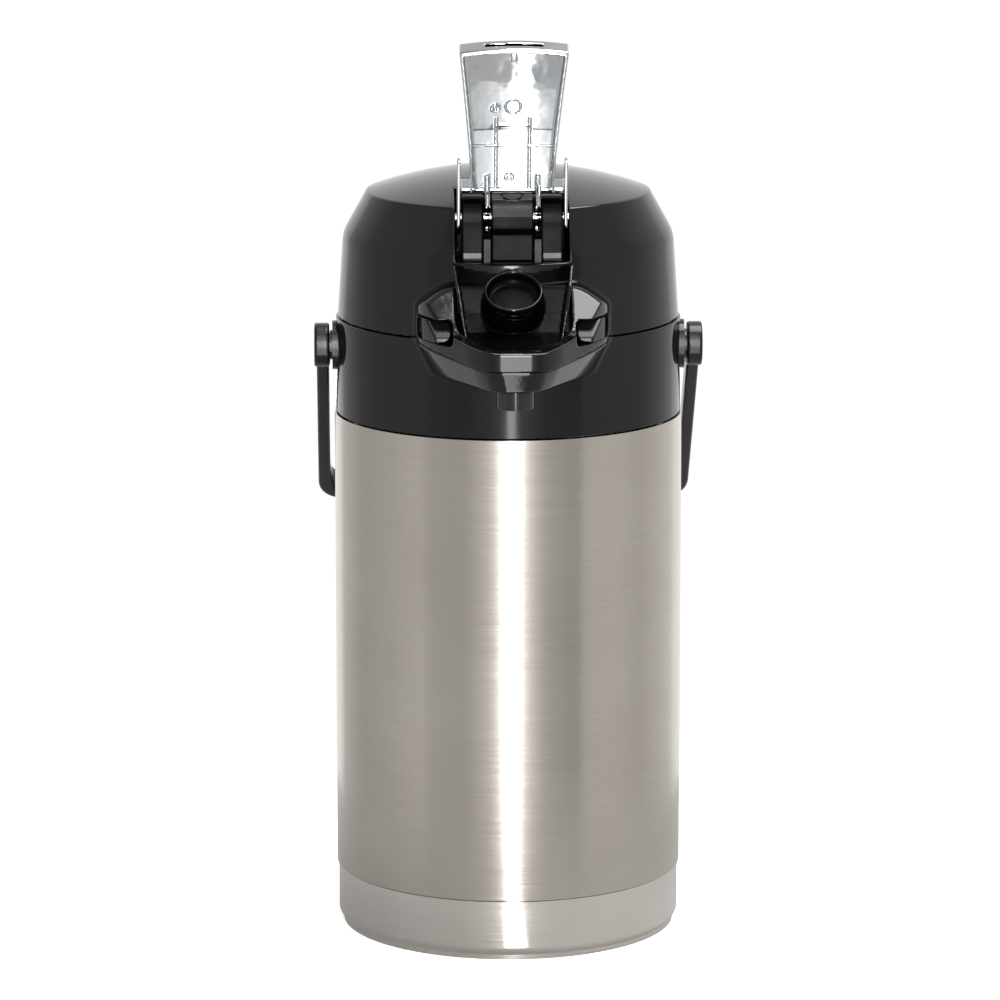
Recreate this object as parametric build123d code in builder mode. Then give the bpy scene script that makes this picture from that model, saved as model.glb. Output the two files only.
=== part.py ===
from build123d import *
import os
from math import cos, radians, sin

os.makedirs("parts", exist_ok=True)

# Lever-action vacuum pump pot. Millimetres, +Z up, spout towards -Y.
# The origin is the centre of the underside, on the pot's axis.

# ---- Driving dimensions ----
shell_radius = 82.5
base_radius = 81.6
lip_radius = 79.4
base_top = 28.5
shell_bottom = 28.9
shell_top = 249.0
collar_radius = 81.7
collar_bottom = 249.3
seam_height = 294.7
seam_gap = 0.5
crease_radius = 67.0
crease_height = 354.5
dome_height = 366.0
steel_wall = 0.8
plastic_wall = 2.4

# Inner bottle
bottle_radius = 74.0
jacket_radius = 78.6
bottle_bottom = 42.0
jacket_bottom = 36.0
shoulder_height = 244.0
neck_radius = 43.0
neck_top = 277.0

# Collar deck, stem and spout
deck_top = 281.5
deck_thickness = 2.4
deck_hole = 47.5
pipe_height = 287.4
pipe_radius = 4.6
pipe_bore = 3.2
nozzle_y = -118.0
nozzle_radius = 8.75
nozzle_bottom = 271.0
nozzle_shoulder = 279.9
chin_bottom = 280.0
chin_front = -137.0
chin_front_seam = 290.3

# Lever, its pin and the pump
pin_y = -60.0
pin_z = 350.0
pin_radius = 2.0
pin_half_length = 28.2
running_gap = 0.06
lever_lean = 115.0
lever_length = 92.5
press_angle = 85.0
pump_stroke = 14.0
cam_start = 8.0
cam_gap = 0.3
cheek_outer = 26.0
cheek_inner = 24.2
rib_inner = 10.6
rib_outer = 12.6
channel_half = 27.0
channel_floor = 331.0
channel_rear = -37.0
bellows_radius = 50.0
bellows_bottom = 298.6
bellows_top = 324.4
plate_thickness = 3.0

# Carrying bail
bail_z = 280.3
bail_length = 126.0
bail_rest_back = 91.5
bail_pin_radius = 4.5
hub_radius = 10.5
hub_inner = 84.8
hub_outer = 92.0
bail_inner = 85.0
bail_outer = 91.0

# Lid hinge at the back
hinge_y = 86.4
hinge_z = 297.4
hinge_radius = 2.0


# ---- Shared shapes ----
def tube(outer, inner, bottom, top):
    """An upright round tube."""
    with BuildPart() as piece:
        with BuildSketch(Plane.XY.offset(bottom)):
            Circle(outer)
            Circle(inner, mode=Mode.SUBTRACT)
        extrude(amount=top - bottom)
    return piece.part


def disc(radius, bottom, top):
    """An upright round disc."""
    with BuildPart() as piece:
        with BuildSketch(Plane.XY.offset(bottom)):
            Circle(radius)
        extrude(amount=top - bottom)
    return piece.part


def block(x_low, x_high, y_low, y_high, z_low, z_high):
    """A rectangular block between two corners."""
    with BuildPart() as piece:
        with BuildSketch(Plane.XY.offset(z_low)):
            with Locations(((x_low + x_high) / 2, (y_low + y_high) / 2)):
                Rectangle(x_high - x_low, y_high - y_low)
        extrude(amount=z_high - z_low)
    return piece.part


def cross_pin(radius, half_length, y, z):
    """A round pin along X, centred on X = 0."""
    with BuildPart() as piece:
        with BuildSketch(Plane.YZ):
            with Locations((y, z)):
                Circle(radius)
        extrude(amount=half_length, both=True)
    return piece.part


def revolved(points):
    """A solid of revolution about Z from (radius, height) points."""
    with BuildPart() as piece:
        with BuildSketch(Plane.XZ):
            with BuildLine():
                Polyline(*points, close=True)
            make_face()
        revolve(axis=Axis.Z)
    return piece.part


def dome(inset, bottom):
    """The lid's round body, moved inwards by inset, from the height bottom up."""
    side_top = seam_height + 39.8
    with BuildPart() as piece:
        with BuildSketch(Plane.XZ) as profile:
            with BuildLine():
                Polyline(
                    (0, dome_height - inset),
                    (0, bottom),
                    (80.8 - inset, bottom),
                    (78.2 - inset, side_top - inset * 0.3),
                    (crease_radius - inset * 0.7, crease_height - inset),
                )
                ThreePointArc(
                    (crease_radius - inset * 0.7, crease_height - inset),
                    (crease_radius / 2, dome_height - inset - 2.85),
                    (0, dome_height - inset),
                )
            make_face()
            shoulder = profile.vertices().sort_by(Axis.X)[-2:].sort_by(Axis.Y)[-1]
            fillet(shoulder, radius=16 - inset)
            crease = profile.vertices().group_by(Axis.Y)[-2]
            fillet(crease, radius=1.2)
        revolve(axis=Axis.Z)
    return piece.part


def chin_outline(inset):
    """The chin's plan, from inside the collar to its blunt front."""
    half = [(44, -60), (44, -76), (40, -91), (33, -105), (19, -131), (12, chin_front)]
    right = [(x - inset, y + (inset if y == chin_front else 0)) for x, y in half]
    left = [(-x, y) for x, y in reversed(right)]
    with BuildSketch() as outline:
        with BuildLine():
            Polyline(*right, *left, close=True)
        make_face()
        fillet(outline.vertices().filter_by_position(Axis.Y, -140, -80), radius=7)
    return outline.sketch


def side_profile(points, half_width):
    """A block along X whose outline in the YZ plane is given by points."""
    with BuildPart() as piece:
        with BuildSketch(Plane.YZ):
            with BuildLine():
                Polyline(*points, close=True)
            make_face()
        extrude(amount=half_width, both=True)
    return piece.part


# ---- Foot and steel body ----
with BuildPart() as base_ring:
    with BuildSketch(Plane.XZ) as base_profile:
        with BuildLine():
            Polyline(
                (lip_radius - 1.6, 0),
                (lip_radius, 0),
                (lip_radius, 2.2),
                (base_radius, 5.2),
                (base_radius, base_top),
                (base_radius - 1.2, base_top),
                (base_radius - 1.2, 6.2),
                (lip_radius - 1.6, 3.0),
                close=True,
            )
        make_face()
        fillet(base_profile.vertices().group_by(Axis.X)[-1].sort_by(Axis.Y)[0], radius=3)
    revolve(axis=Axis.Z)
base_ring.part.label = "base_ring"
export_step(base_ring.part, "parts/base_ring.step")

with BuildPart() as bottom_plate:
    add(disc(74.0, 6.4, 9.0))
    add(tube(80.2, 77.9, 9.0, 25.0))
    add(tube(77.9, 74.0, 6.4, 11.4))
    add(tube(72.0, 70.0, 3.2, 6.4))
    add(tube(60.0, 58.0, 3.2, 6.4))
    with Locations((0, 0, 9.0)):
        with PolarLocations(50, 3):
            Cylinder(4.5, 14.0, align=(Align.CENTER, Align.CENTER, Align.MIN))
    with Locations((0, 0, 6.4)):
        with PolarLocations(50, 3):
            Cylinder(1.9, 16.6, align=(Align.CENTER, Align.CENTER, Align.MIN), mode=Mode.SUBTRACT)
bottom_plate.part.label = "bottom_plate"
export_step(bottom_plate.part, "parts/bottom_plate.step")

with BuildPart() as foot_ring:
    add(tube(69.8, 60.2, 0, 6.3))
    chamfer(foot_ring.edges().group_by(Axis.Z)[0], length=0.8)
foot_ring.part.label = "foot_ring"
export_step(foot_ring.part, "parts/foot_ring.step")

with BuildPart() as base_screws:
    with Locations((0, 0, 3.6)):
        with PolarLocations(50, 3):
            Cylinder(3.6, 2.7, align=(Align.CENTER, Align.CENTER, Align.MIN))
    with Locations((0, 0, 6.3)):
        with PolarLocations(50, 3):
            Cylinder(1.8, 14.0, align=(Align.CENTER, Align.CENTER, Align.MIN))
    with Locations((0, 0, 3.6)):
        with PolarLocations(50, 3):
            Box(4.4, 0.9, 1.0, align=(Align.CENTER, Align.CENTER, Align.MIN), mode=Mode.SUBTRACT)
            Box(0.9, 4.4, 1.0, align=(Align.CENTER, Align.CENTER, Align.MIN), mode=Mode.SUBTRACT)
base_screws.part.label = "base_screws"
export_step(base_screws.part, "parts/base_screws.step")

with BuildPart() as outer_shell:
    add(tube(shell_radius, shell_radius - steel_wall, shell_bottom, shell_top))
    fillet(outer_shell.edges().group_by(Axis.Z)[0].sort_by(SortBy.RADIUS)[-1], radius=0.5)
outer_shell.part.label = "outer_shell"
export_step(outer_shell.part, "parts/outer_shell.step")

with BuildPart() as liner_cradle:
    add(tube(68.0, 44.0, 25.2, 29.0))
    add(tube(68.0, 64.0, 29.0, jacket_bottom - 0.1))
    add(tube(48.0, 44.0, 29.0, jacket_bottom - 0.1))
liner_cradle.part.label = "liner_cradle"
export_step(liner_cradle.part, "parts/liner_cradle.step")


def bottle(radius, bottom, shoulder, neck, top, corner):
    """A thin steel bottle: round bottom corner, sloping shoulder and a straight neck."""
    with BuildPart() as piece:
        with BuildSketch(Plane.XZ) as profile:
            for inset, mode in ((0, Mode.ADD), (steel_wall, Mode.SUBTRACT)):
                with BuildSketch(Plane.XZ, mode=mode):
                    with BuildLine():
                        Polyline(
                            (0, bottom + inset),
                            (radius - inset, bottom + inset),
                            (radius - inset, shoulder),
                            (neck - inset, shoulder + 22),
                            (neck - inset, top),
                            (0, top),
                            close=True,
                        )
                    outline = make_face()
                    corners = outline.vertices().sort_by(Axis.X)[-2:]
                    fillet(corners, radius=corner - inset)
        revolve(axis=Axis.Z)
    return piece.part


with BuildPart() as liner_inner:
    add(bottle(bottle_radius, bottle_bottom, shoulder_height, neck_radius, neck_top, 16))
liner_inner.part.label = "liner_inner"
export_step(liner_inner.part, "parts/liner_inner.step")

with BuildPart() as liner_jacket:
    add(bottle(jacket_radius, jacket_bottom, shoulder_height + 1.5, neck_radius + 2.2, 272.0, 19))
    add(tube(neck_radius + 2.2, neck_radius + 0.05, 271.2, 272.0))
liner_jacket.part.label = "liner_jacket"
export_step(liner_jacket.part, "parts/liner_jacket.step")

with BuildPart() as neck_gasket:
    add(tube(46.6, 40.5, neck_top, neck_top + 2.4))
    add(tube(46.6, neck_radius + 0.1, neck_top - 3.4, neck_top))
neck_gasket.part.label = "neck_gasket"
export_step(neck_gasket.part, "parts/neck_gasket.step")

# ---- Collar with the lower half of the chin ----
chin_seam_back = -82.0
lower_chin_cut = side_profile(
    [
        (chin_seam_back, seam_height),
        (chin_front - 10, chin_front_seam - 0.8),
        (chin_front - 10, seam_height + 20),
        (chin_seam_back, seam_height + 20),
    ],
    60,
)

with BuildPart() as collar:
    add(tube(collar_radius, collar_radius - plastic_wall, collar_bottom, seam_height))
    with BuildSketch(Plane.XY.offset(seam_height)):
        add(chin_outline(0))
    extrude(amount=chin_bottom - seam_height, taper=26)
    add(disc(collar_radius - plastic_wall, collar_bottom, seam_height), mode=Mode.SUBTRACT)
    with BuildSketch(Plane.XY.offset(seam_height + 0.1)):
        add(chin_outline(2.2))
    extrude(amount=chin_bottom + 1.8 - seam_height, taper=26, mode=Mode.SUBTRACT)
    add(tube(collar_radius - 1, deck_hole, deck_top - deck_thickness, deck_top))
    add(tube(deck_hole + 2.4, deck_hole, 267.6, deck_top))
    add(lower_chin_cut, mode=Mode.SUBTRACT)
    with Locations((0, nozzle_y, chin_bottom - 5)):
        Cylinder(6.6, 20, mode=Mode.SUBTRACT)
    # Flat teardrop pads for the bail, and the holes of its pivots.
    for side in (1, -1):
        with BuildSketch(Plane.YZ.offset(side * 79.6)):
            with Locations((0, bail_z)):
                Circle(13.4)
            with BuildLine():
                Polyline((-13.3, bail_z), (13.3, bail_z), (5, 254), (-5, 254), close=True)
            make_face()
        extrude(amount=side * 6, mode=Mode.SUBTRACT)
        with BuildSketch(Plane.YZ.offset(side * 74)):
            with Locations((0, bail_z)):
                Circle(12.0)
        extrude(amount=side * 5.6)
        with BuildSketch(Plane.YZ.offset(side * 60)):
            with Locations((0, bail_z)):
                Circle(5.5)
        extrude(amount=side * 14, mode=Mode.SUBTRACT)
        with BuildSketch(Plane.YZ.offset(side * 69)):
            with Locations((0, bail_z)):
                Circle(2.1)
        extrude(amount=side * 14, mode=Mode.SUBTRACT)
    # Hinge lands at the back.
    for x in (-17.5, 17.5):
        add(block(x - 5.5, x + 5.5, 77.4, 83.6, 284.0, 292.6))
collar.part.label = "collar"
export_step(collar.part, "parts/collar.step")

# ---- Hinge of the lid ----
with BuildPart() as hinge_bracket:
    for x in (-17.5, 17.5):
        with BuildSketch(Plane.YZ.offset(x - 5.4)):
            with Locations((hinge_y, hinge_z)):
                Circle(4.2)
            with BuildLine():
                Polyline(
                    (83.65, 284.2),
                    (86.2, 284.2),
                    (hinge_y + 4.2, hinge_z - 0.2),
                    (hinge_y - 2.2, hinge_z - 1.0),
                    (83.65, 292.5),
                    close=True,
                )
            make_face()
        extrude(amount=10.8)
    add(block(-23.0, 23.0, 83.65, 85.6, 284.2, 290.0))
    add(cross_pin(hinge_radius + running_gap, 30, hinge_y, hinge_z), mode=Mode.SUBTRACT)
hinge_bracket.part.label = "hinge_bracket"
export_step(hinge_bracket.part, "parts/hinge_bracket.step")

with BuildPart() as hinge_pin:
    add(cross_pin(hinge_radius, 23.0, hinge_y, hinge_z))
hinge_pin.part.label = "hinge_pin"
export_step(hinge_pin.part, "parts/hinge_pin.step")

# ---- Stem, valve and spout ----
with BuildPart() as neck_ring:
    add(tube(deck_hole - 0.15, neck_radius + 2.3, 268.3, 273.4))
neck_ring.part.label = "neck_ring"
export_step(neck_ring.part, "parts/neck_ring.step")

seat_bottom = neck_top + 2.5
seat_top = seat_bottom + 1.9
chamber_bottom = 285.1
tube_top = 284.9
seal_wall_top = 292.8

with BuildPart() as stem_seat:
    add(disc(46.4, seat_bottom, seat_top))
    add(tube(36.0, 33.5, seat_top, seal_wall_top))
    add(disc(9.0, neck_top - 6.0, seal_wall_top))
    add(disc(5.05, 260.0, chamber_bottom), mode=Mode.SUBTRACT)
    add(disc(6.2, chamber_bottom, chamber_bottom + 6.4), mode=Mode.SUBTRACT)
    with BuildSketch(Plane.XZ):
        with Locations((0, pipe_height)):
            Circle(pipe_radius + 0.04)
    extrude(amount=40, mode=Mode.SUBTRACT)
    with Locations((0, 0, neck_top + 3)):
        with PolarLocations(22, 6, start_angle=30):
            Cylinder(3.0, 8, mode=Mode.SUBTRACT)
stem_seat.part.label = "stem_seat"
export_step(stem_seat.part, "parts/stem_seat.step")

with BuildPart() as dip_tube:
    add(tube(5.0, 3.4, bottle_bottom + 6, tube_top))
    add(block(-1.2, 1.2, -6, 6, bottle_bottom + 5, bottle_bottom + 11), mode=Mode.SUBTRACT)
dip_tube.part.label = "dip_tube"
export_step(dip_tube.part, "parts/dip_tube.step")

with BuildPart() as check_ball:
    with Locations((0, 0, tube_top + 2.05)):
        Sphere(3.9)
check_ball.part.label = "check_ball"
export_step(check_ball.part, "parts/check_ball.step")

with BuildPart() as spout_pipe:
    with BuildSketch(Plane.XZ.offset(6.6)):
        with Locations((0, pipe_height)):
            Circle(pipe_radius)
            Circle(pipe_bore, mode=Mode.SUBTRACT)
    extrude(amount=-nozzle_y - 4.2 - 6.6)
spout_pipe.part.label = "spout_pipe"
export_step(spout_pipe.part, "parts/spout_pipe.step")

with BuildPart() as nozzle:
    with Locations((0, nozzle_y, nozzle_bottom)):
        tip_height = nozzle_shoulder - nozzle_bottom
        Cylinder(nozzle_radius, tip_height, align=(Align.CENTER, Align.CENTER, Align.MIN))
    with Locations((0, nozzle_y, nozzle_shoulder)):
        Cylinder(6.4, 12.7, align=(Align.CENTER, Align.CENTER, Align.MIN))
    with Locations((0, nozzle_y, nozzle_bottom)):
        Cylinder(4.2, 19.6, align=(Align.CENTER, Align.CENTER, Align.MIN), mode=Mode.SUBTRACT)
    with BuildSketch(Plane.XZ.offset(-nozzle_y - 10)):
        with Locations((0, pipe_height)):
            Circle(pipe_radius + 0.04)
    extrude(amount=6.2, mode=Mode.SUBTRACT)
    chamfer(nozzle.edges().group_by(Axis.Z)[0], length=0.6)
nozzle.part.label = "nozzle"
export_step(nozzle.part, "parts/nozzle.step")

with BuildPart() as nozzle_seal:
    with Locations((0, nozzle_y, chin_bottom + 1.95)):
        Cylinder(7.2, 0.8, align=(Align.CENTER, Align.CENTER, Align.MIN))
        Cylinder(6.45, 0.8, align=(Align.CENTER, Align.CENTER, Align.MIN), mode=Mode.SUBTRACT)
nozzle_seal.part.label = "nozzle_seal"
export_step(nozzle_seal.part, "parts/nozzle_seal.step")

# ---- Lid shell: dome, lever channel, wings and the upper half of the chin ----
lid_bottom = seam_height + seam_gap
tub_wall = 2.5
slot_inner = 9.9
slot_outer = 13.6
nub_inner = 28.5
nub_outer = 42.0
nub_bottom = 298.0
nub_top = 308.0
nub_front = -101.0

upper_chin_side = side_profile(
    [
        (-50, lid_bottom),
        (chin_seam_back, lid_bottom),
        (chin_front - 10, chin_front_seam - 0.8 + seam_gap),
        (chin_front - 10, 298.0),
        (chin_front, 298.5),
        (-108, 303.5),
        (-77, 325.5),
        (-50, 325.5),
    ],
    60,
)

with BuildPart() as upper_chin:
    with BuildSketch(Plane.XY.offset(280)):
        add(chin_outline(0))
    extrude(amount=60)
    add(upper_chin_side, mode=Mode.INTERSECT)
    with BuildSketch(Plane.XZ):
        with BuildLine():
            Polyline((-50, 280), (50, 280), (44, 309), (27, 323.5), (-27, 323.5), (-44, 309), close=True)
        make_face()
    extrude(amount=150, mode=Mode.INTERSECT)

with BuildPart() as valley:
    with BuildSketch(Plane.XZ.offset(60)):
        with BuildLine():
            Polyline((-15, 294), (15, 294), (26, 331), (26, 345), (-26, 345), (-26, 331), close=True)
        make_face()
    extrude(amount=67)
    valley_floor = side_profile(
        [
            (-78.6, 340),
            (-78.6, 331),
            (-80.2, 320),
            (-84, 309),
            (-92, 301.5),
            (-106, 298),
            (-127, 297),
            (-127, 340),
        ],
        60,
    )
    add(valley_floor, mode=Mode.INTERSECT)

# A cup stands out of the valley's steep back wall.
cup_mouth = Plane((0, -90, 320.4)).rotated((34, 0, 0))
cup_radius = 14.2
with BuildPart() as cup:
    with BuildSketch(cup_mouth):
        Circle(cup_radius)
    extrude(amount=-16)

with BuildPart() as cup_well:
    with BuildSketch(cup_mouth.offset(-5.4)):
        Circle(cup_radius - 1.6)
    extrude(amount=20)

with BuildPart() as pin_bosses:
    for side in (1, -1):
        with BuildSketch(Plane.YZ.offset(side * 14.4)):
            with Locations((pin_y, pin_z)):
                Circle(10.5)
            with Locations((pin_y, (pin_z + channel_floor - 1) / 2)):
                Rectangle(21, pin_z - channel_floor + 1)
        extrude(amount=side * 8.4)

with BuildPart() as lid_hollow:
    add(dome(plastic_wall, lid_bottom - 1))
    tub_half = channel_half + tub_wall
    add(
        block(-tub_half, tub_half, -90, channel_rear + tub_wall, channel_floor - tub_wall, 380),
        mode=Mode.SUBTRACT,
    )

with BuildPart() as lid_shell:
    add(dome(0, lid_bottom))
    add(upper_chin.part)
    add(valley.part, mode=Mode.SUBTRACT)
    add(cup.part)
    add(lid_hollow.part, mode=Mode.SUBTRACT)
    channel = block(-channel_half, channel_half, -110, channel_rear, channel_floor, 380)
    add(channel, mode=Mode.SUBTRACT)
    add(cup_well.part, mode=Mode.SUBTRACT)
    add(pin_bosses.part)
    add(block(-9.4, 9.4, -127, -70, 280, 293.9), mode=Mode.SUBTRACT)
    for side in (1, -1):
        slot_low = min(side * slot_inner, side * slot_outer)
        slot_high = max(side * slot_inner, side * slot_outer)
        slot = block(slot_low, slot_high, -75.6, -49, channel_floor - 6, channel_floor + 6)
        add(slot, mode=Mode.SUBTRACT)
        nub_low = min(side * (nub_inner - 0.4), side * (nub_outer + 0.4))
        nub_high = max(side * (nub_inner - 0.4), side * (nub_outer + 0.4))
        nub_guide = block(nub_low, nub_high, -110, -60, nub_bottom - 0.4, nub_top + 0.4)
        add(nub_guide, mode=Mode.SUBTRACT)
    add(cross_pin(pin_radius + running_gap, pin_half_length + 0.4, pin_y, pin_z), mode=Mode.SUBTRACT)
    # Screw bosses on the inner wall.
    for angle in (30, 150, 210, 330):
        with Locations((72.6 * cos(radians(angle)), 72.6 * sin(radians(angle)), 298.0)):
            Cylinder(5.2, 14, align=(Align.CENTER, Align.CENTER, Align.MIN))
            Cylinder(1.6, 12, align=(Align.CENTER, Align.CENTER, Align.MIN), mode=Mode.SUBTRACT)
    # Hinge lug at the back.
    with BuildSketch(Plane.YZ):
        with Locations((hinge_y, hinge_z)):
            Circle(4.2)
        with BuildLine():
            Polyline(
                (79.2, 296.0),
                (hinge_y, hinge_z - 3.5),
                (hinge_y + 3.5, hinge_z + 2.2),
                (79.2, 309.0),
                close=True,
            )
        make_face()
    extrude(amount=11.6, both=True)
    add(cross_pin(hinge_radius + running_gap, 14, hinge_y, hinge_z), mode=Mode.SUBTRACT)
lid_shell.part.label = "lid_shell"
export_step(lid_shell.part, "parts/lid_shell.step")

with BuildPart() as lid_base:
    add(disc(77.4, lid_bottom + 0.2, lid_bottom + 2.6))
    with Locations((0, 0, lid_bottom)):
        with PolarLocations(22, 6):
            Cylinder(3.0, 12, mode=Mode.SUBTRACT)
    for angle in (30, 150, 210, 330):
        with Locations((72.6 * cos(radians(angle)), 72.6 * sin(radians(angle)), lid_bottom)):
            Cylinder(1.9, 12, mode=Mode.SUBTRACT)
            Cylinder(3.9, 3.0, mode=Mode.SUBTRACT)
lid_base.part.label = "lid_base"
export_step(lid_base.part, "parts/lid_base.step")

with BuildPart() as lid_screws:
    for angle in (30, 150, 210, 330):
        with Locations((72.6 * cos(radians(angle)), 72.6 * sin(radians(angle)), lid_bottom + 0.3)):
            Cylinder(3.6, 1.1, align=(Align.CENTER, Align.CENTER, Align.MIN))
            Cylinder(1.5, 11, align=(Align.CENTER, Align.CENTER, Align.MIN))
lid_screws.part.label = "lid_screws"
export_step(lid_screws.part, "parts/lid_screws.step")

with BuildPart() as lid_gasket:
    add(tube(37.0, 32.6, seal_wall_top + 0.1, lid_bottom + 0.15))
lid_gasket.part.label = "lid_gasket"
export_step(lid_gasket.part, "parts/lid_gasket.step")

block_radius = 13.5
block_foot = channel_floor + 0.05
with BuildPart() as pivot_block:
    with BuildSketch(Plane.YZ):
        with Locations((pin_y, pin_z)):
            Circle(block_radius)
        with BuildLine():
            Polyline(
                (pin_y - 11, pin_z),
                (pin_y - 11, block_foot),
                (pin_y + block_radius, block_foot),
                (pin_y + block_radius, pin_z),
                close=True,
            )
        make_face()
    extrude(amount=9.6, both=True)
    add(cross_pin(pin_radius + running_gap, 12, pin_y, pin_z), mode=Mode.SUBTRACT)
pivot_block.part.label = "pivot_block"
export_step(pivot_block.part, "parts/pivot_block.step")

with BuildPart() as lever_pin:
    add(cross_pin(pin_radius, pin_half_length, pin_y, pin_z))
lever_pin.part.label = "lever_pin"
export_step(lever_pin.part, "parts/lever_pin.step")

# ---- Lever: a shallow tray whose two ribs are involute cams over the pump plate ----
lean = radians(lever_lean)
lever_plane = Plane(origin=(0, pin_y, pin_z), x_dir=(1, 0, 0), z_dir=(0, -sin(lean), cos(lean)))
cam_pitch = pump_stroke / radians(press_angle)


def lever_side(x):
    """The lever's own side plane at x: first axis along the lever, second towards its underside."""
    return Plane(origin=(x, pin_y, pin_z), x_dir=(0, cos(lean), sin(lean)), z_dir=(1, 0, 0))


def cam_point(turn):
    """The cam's point that touches the flat pad when the lever has turned by turn radians."""
    reach = cam_start + cam_pitch * turn
    y = -cam_pitch * cos(turn) - reach * sin(turn)
    z = cam_pitch * sin(turn) - reach * cos(turn)
    return (y * cos(lean) + z * sin(lean), -y * sin(lean) + z * cos(lean))


def lever_outline(inset):
    """The tray's outline, waisted near the root and wider at the tip."""
    root = 20 - inset
    waist = 19.6 - inset
    tip = (25 - inset, 90.6 - inset)
    far_tip = (-tip[0], tip[1])
    with BuildSketch() as outline:
        with BuildLine():
            Line((-root, 15), (root, 15))
            Line((root, 15), (waist, 34))
            ThreePointArc((waist, 34), (21.2 - inset, 62), tip)
            ThreePointArc(tip, (0, lever_length - inset), far_tip)
            ThreePointArc(far_tip, (-21.2 + inset, 62), (-waist, 34))
            Line((-waist, 34), (-root, 15))
        make_face()
    return outline.sketch


with BuildPart() as lever:
    with BuildSketch(lever_plane.offset(-5.5)):
        add(lever_outline(0))
    extrude(amount=8.7)
    with BuildSketch(lever_plane.offset(-3.6)):
        add(lever_outline(1.8))
    extrude(amount=10, mode=Mode.SUBTRACT)
    with BuildSketch(lever_plane.offset(-5.5)):
        with Locations((0, 16)):
            Rectangle(2 * cheek_inner + 0.6, 3)
    extrude(amount=8.7)
    for side in (1, -1):
        with BuildSketch(lever_side(side * cheek_inner)):
            Circle(8)
            with Locations((15.5, -0.6)):
                Circle(10.2)
            with BuildLine():
                Polyline((0, -8), (15.5, -10.8), (15.5, 9.6), (0, 8), close=True)
            make_face()
        extrude(amount=side * (cheek_outer - cheek_inner))
        with BuildSketch(lever_side(side * rib_inner)):
            Circle(7)
            with BuildLine():
                full_turn = radians(press_angle)
                cam_edge = Spline(*[cam_point(full_turn * step / 8) for step in range(9)])
                fin = [(19.5, 11.5), (24, 1.0), (24, -4.5), (10, -4.5), (0, 0)]
                Polyline(cam_edge @ 1, *fin, cam_edge @ 0)
            make_face()
        extrude(amount=side * (rib_outer - rib_inner))
    add(cross_pin(pin_radius + running_gap, 32, pin_y, pin_z), mode=Mode.SUBTRACT)
lever.part.label = "lever"
export_step(lever.part, "parts/lever.step")

# ---- Pump ----
pad_top = pin_z - cam_start - cam_gap
with BuildPart() as pump_plate:
    add(disc(46.0, bellows_top + 0.2, bellows_top + 0.2 + plate_thickness))
    add(block(-13.2, 13.2, -74.2, -30, bellows_top + 0.2, bellows_top + 0.2 + plate_thickness))
    add(block(-13.2, -10.2, -74.2, -65.5, bellows_top + 0.2, pad_top))
    add(block(10.2, 13.2, -74.2, -65.5, bellows_top + 0.2, pad_top))
    add(disc(2.7, bellows_top - 2, bellows_top + 6), mode=Mode.SUBTRACT)
pump_plate.part.label = "pump_plate"
export_step(pump_plate.part, "parts/pump_plate.step")

with BuildPart() as inlet_valve:
    add(disc(8.5, bellows_top - 2.1, bellows_top - 1.1))
    add(disc(2.5, bellows_top - 1.1, bellows_top + plate_thickness + 0.3))
    add(disc(4.0, bellows_top + plate_thickness + 0.3, bellows_top + plate_thickness + 1.3))
inlet_valve.part.label = "inlet_valve"
export_step(inlet_valve.part, "parts/inlet_valve.step")

fold_count = 3
fold_height = (bellows_top - bellows_bottom - 1.0) / (2 * fold_count)
fold_radii = [bellows_radius if step % 2 else bellows_radius - 9 for step in range(2 * fold_count + 1)]
outer_folds = [(r, bellows_bottom + 1 + step * fold_height) for step, r in enumerate(fold_radii)]
inner_folds = [(r - 1.1, z) for r, z in reversed(outer_folds)]
with BuildPart() as bellows:
    add(
        revolved(
            [
                (outer_folds[0][0] - 1.1, bellows_bottom),
                (bellows_radius, bellows_bottom),
                (bellows_radius, bellows_bottom + 1),
                *outer_folds,
                *inner_folds,
            ]
        )
    )
    add(tube(fold_radii[-1], 3.2, bellows_top - 1.0, bellows_top))
bellows.part.label = "bellows"
export_step(bellows.part, "parts/bellows.step")

spring_radius = 30.0
wire_radius = 1.1
spring_bottom = bellows_bottom + wire_radius
spring_height = bellows_top - 1.2 - 2 * wire_radius - bellows_bottom
with BuildPart() as bellows_spring:
    with BuildLine():
        coil = Helix(
            pitch=spring_height / 3.5,
            height=spring_height,
            radius=spring_radius,
            center=(0, 0, spring_bottom),
        )
    with BuildSketch(Plane(origin=coil @ 0, z_dir=coil % 0)):
        Circle(wire_radius)
    sweep(is_frenet=True)
bellows_spring.part.label = "bellows_spring"
export_step(bellows_spring.part, "parts/bellows_spring.step")

# ---- Lid latch: two nubs on one bar ----
with BuildPart() as latch:
    add(block(-nub_outer, nub_outer, -62, -58, nub_bottom + 1, nub_top - 1))
    add(block(nub_inner, nub_outer, nub_front, -60, nub_bottom, nub_top))
    add(block(-nub_outer, -nub_inner, nub_front, -60, nub_bottom, nub_top))
    with BuildSketch(Plane.XY.offset(nub_bottom - 1)):
        add(chin_outline(-1.2))
        Rectangle(2 * nub_outer, 120)
    extrude(amount=nub_top - nub_bottom + 2, mode=Mode.INTERSECT)
latch.part.label = "latch"
export_step(latch.part, "parts/latch.step")

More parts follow.
